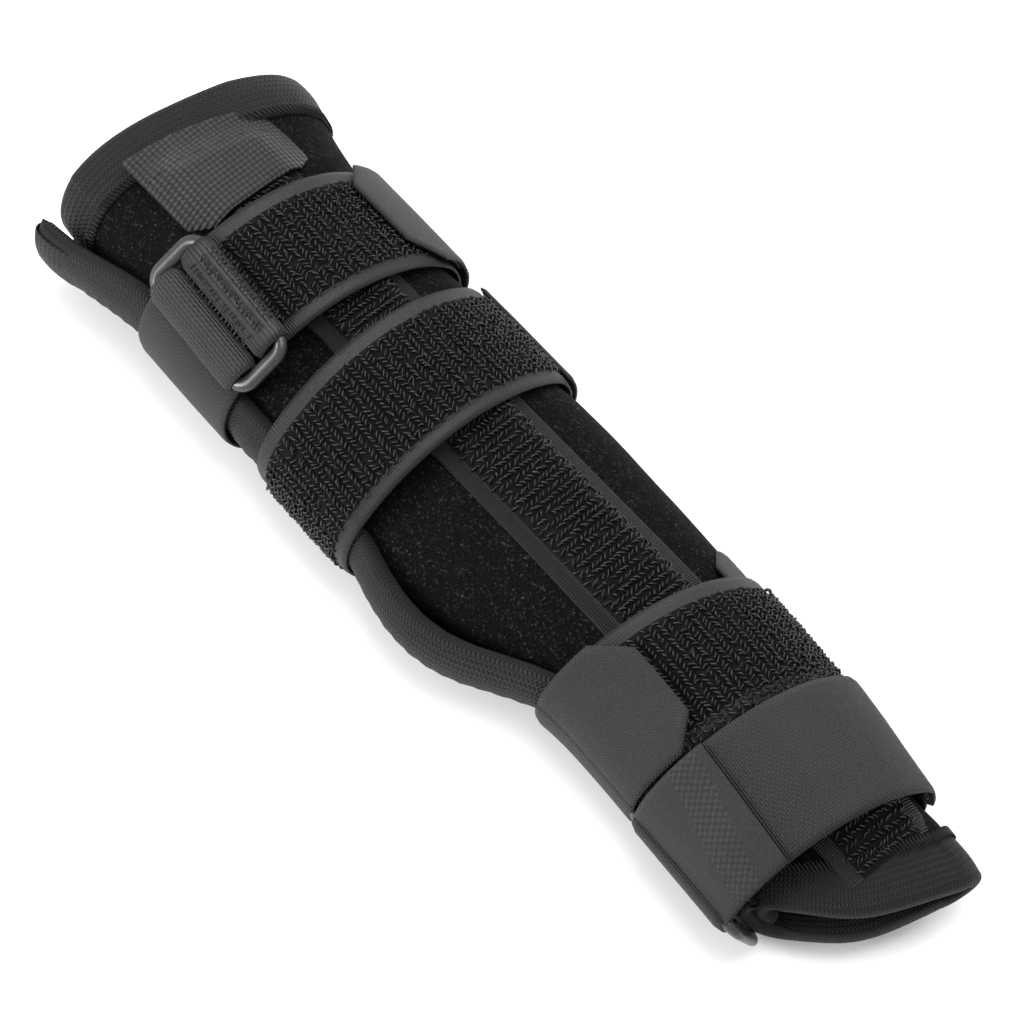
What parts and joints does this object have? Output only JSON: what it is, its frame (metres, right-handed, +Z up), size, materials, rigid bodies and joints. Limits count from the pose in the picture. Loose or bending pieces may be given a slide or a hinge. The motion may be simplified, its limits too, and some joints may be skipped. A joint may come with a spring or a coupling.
{
  "type": "wrist and forearm splint",
  "caption": "Padded wrap-round wrist splint rolled closed, with a stay pocket along its top, hook-and-loop straps, plastic rings and knit-bound edges.",
  "frame": {"origin": "bottom centre of the bounding box, on the surface the splint lies on", "axes": "+X along the splint from the forearm end to the hand end, +Z up, +Y to the folded side away from the lip"},
  "size_m": [0.3066, 0.0852, 0.055],
  "materials": {
    "pile_fabric": "unbroken loop pile",
    "foam": "closed-cell foam",
    "lining": "smooth knit",
    "knit_binding": "stretch knit",
    "loop_tape": "coarse loops",
    "grey_webbing": "woven",
    "hook_tape": "moulded hooks",
    "ring_plastic": "moulded",
    "tip_plastic": "dipped",
    "stay_metal": "brushed"
  },
  "bodies": {
    "splint": {"binding_forearm_end": "knit_binding", "binding_hand_end": "knit_binding", "binding_inner_edge": "knit_binding", "binding_lip_edge": "knit_binding", "pocket_loop_strip": "loop_tape", "pocket_tab_foot": "grey_webbing", "strap_a_anchor": "hook_tape", "strap_a_loop_band": "loop_tape", "strap_a_webbing": "grey_webbing", "strap_b_anchor": "hook_tape", "strap_b_loop_band": "loop_tape", "strap_b_webbing": "grey_webbing", "strap_c_anchor": "hook_tape", "strap_c_loop_band": "loop_tape", "strap_c_webbing": "grey_webbing", "strap_d_anchor": "hook_tape", "strap_d_loop_band": "loop_tape", "strap_d_webbing": "grey_webbing", "wrap_foam_core": "foam", "wrap_lining": "lining", "wrap_outer_fabric": "pile_fabric"},
    "strap_a_tab": {"strap_a_tab": "grey_webbing", "strap_a_hook_patch": "hook_tape"},
    "strap_a_ring": {"strap_a_ring": "ring_plastic"},
    "strap_b_tab": {"strap_b_tab": "grey_webbing", "strap_b_hook_patch": "hook_tape"},
    "strap_c_tab": {"strap_c_tab": "grey_webbing", "strap_c_hook_patch": "hook_tape"},
    "strap_d_tab": {"strap_d_tab": "grey_webbing", "strap_d_hook_patch": "hook_tape"},
    "strap_d_ring": {"strap_d_ring": "ring_plastic"},
    "pocket_tab": {"pocket_tab": "grey_webbing", "pocket_tab_hook": "hook_tape"},
    "stay": {"stay_blade": "stay_metal", "stay_tips": "tip_plastic"}
  },
  "joints": [
    {"name": "strap_a_tab_lift", "type": "hinge", "parent": "splint", "child": "strap_a_tab", "pos_m": [-0.08312, 0.04207, 0.02458], "axis": [-0.9992, 0.0213, 0.0332], "range_deg": [0, 100]},
    {"name": "strap_a_ring_tilt", "type": "hinge", "parent": "splint", "child": "strap_a_ring", "pos_m": [-0.08698, -0.01854, 0.04952], "axis": [-0.9944, 0.0714, 0.0779], "range_deg": [-3, 3]},
    {"name": "strap_b_tab_lift", "type": "hinge", "parent": "splint", "child": "strap_b_tab", "pos_m": [-0.03715, 0.04099, 0.01717], "axis": [0.9996, -0.0139, -0.0247], "range_deg": [0, 100]},
    {"name": "strap_c_tab_lift", "type": "hinge", "parent": "splint", "child": "strap_c_tab", "pos_m": [0.06277, -0.03179, 0.022], "axis": [0.998, -0.0497, -0.0381], "range_deg": [0, 100]},
    {"name": "strap_d_tab_lift", "type": "hinge", "parent": "splint", "child": "strap_d_tab", "pos_m": [0.11397, 0.03109, 0.0216], "axis": [0.9806, -0.196, -0.0069], "range_deg": [0, 100]},
    {"name": "strap_d_ring_tilt", "type": "hinge", "parent": "splint", "child": "strap_d_ring", "pos_m": [0.10464, -0.03488, 0.02295], "axis": [0.9954, -0.0934, 0.0231], "range_deg": [-3, 3]},
    {"name": "pocket_tab_lift", "type": "hinge", "parent": "splint", "child": "pocket_tab", "pos_m": [-0.12715, 0.00524, 0.0521], "axis": [-0.2425, -0.97, 0.0162], "range_deg": [0, 140]},
    {"name": "stay_slide", "type": "slide", "parent": "splint", "child": "stay", "axis": [-0.9978, 0, 0.0666], "range_m": [0, 0.006]}
  ]
}
